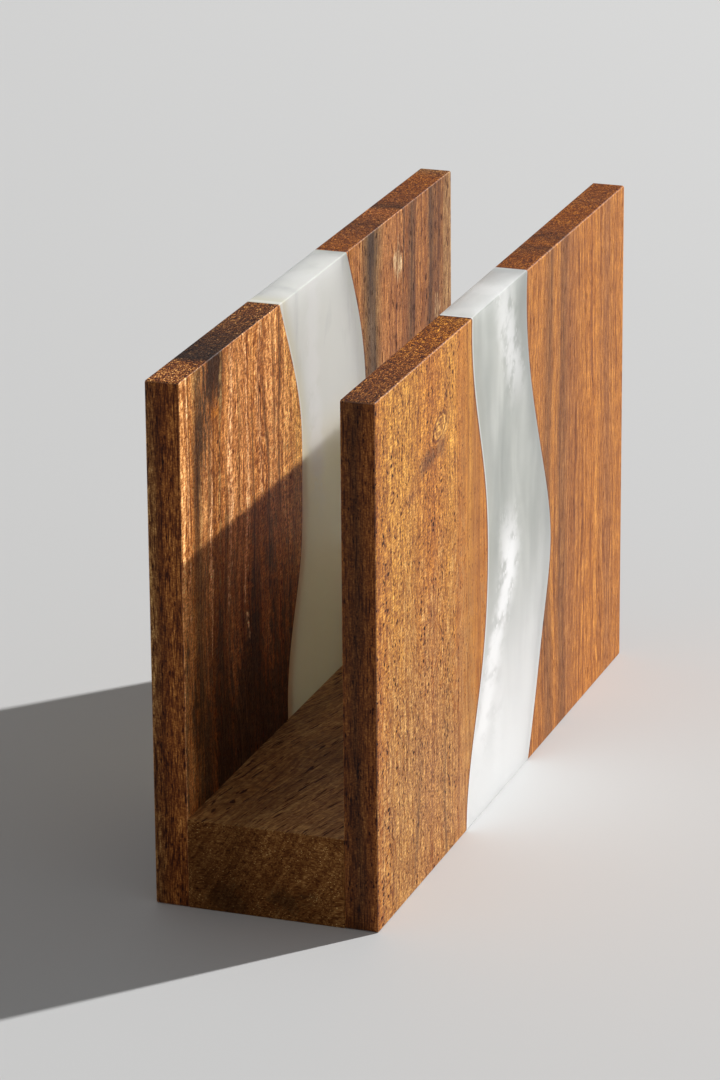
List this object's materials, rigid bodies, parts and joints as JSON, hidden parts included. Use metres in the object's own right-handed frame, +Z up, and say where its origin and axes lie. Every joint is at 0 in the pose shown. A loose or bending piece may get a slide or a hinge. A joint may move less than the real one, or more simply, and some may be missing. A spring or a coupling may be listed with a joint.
{
  "type": "napkin holder",
  "caption": "Free-standing napkin holder: upright wood panels, each parted by a wavy band of white pearl resin, joined to a solid base block that leaves an open slot for folded napkins.",
  "frame": {"origin": "centre of the footprint, on the surface that the holder stands on", "axes": "+X across the slot towards the right panel, +Y along the panels away from the near end, +Z up"},
  "size_m": [0.0474, 0.165, 0.11],
  "materials": {
    "left_panel_wood": "oiled satin, red-brown",
    "right_panel_wood": "oiled satin, golden brown",
    "base_wood": "oiled satin, olive brown",
    "pearl_resin": "polished pearl white epoxy",
    "dowel_wood": "raw turned beech"
  },
  "bodies": {
    "root": {"base_block": "base_wood", "left_front_strip": "left_panel_wood", "left_resin_river": "pearl_resin", "left_rear_strip": "left_panel_wood", "right_front_strip": "right_panel_wood", "right_resin_river": "pearl_resin", "right_rear_strip": "right_panel_wood", "left_front_dowel": "dowel_wood", "left_rear_dowel": "dowel_wood", "right_front_dowel": "dowel_wood", "right_rear_dowel": "dowel_wood"}
  },
  "joints": []
}
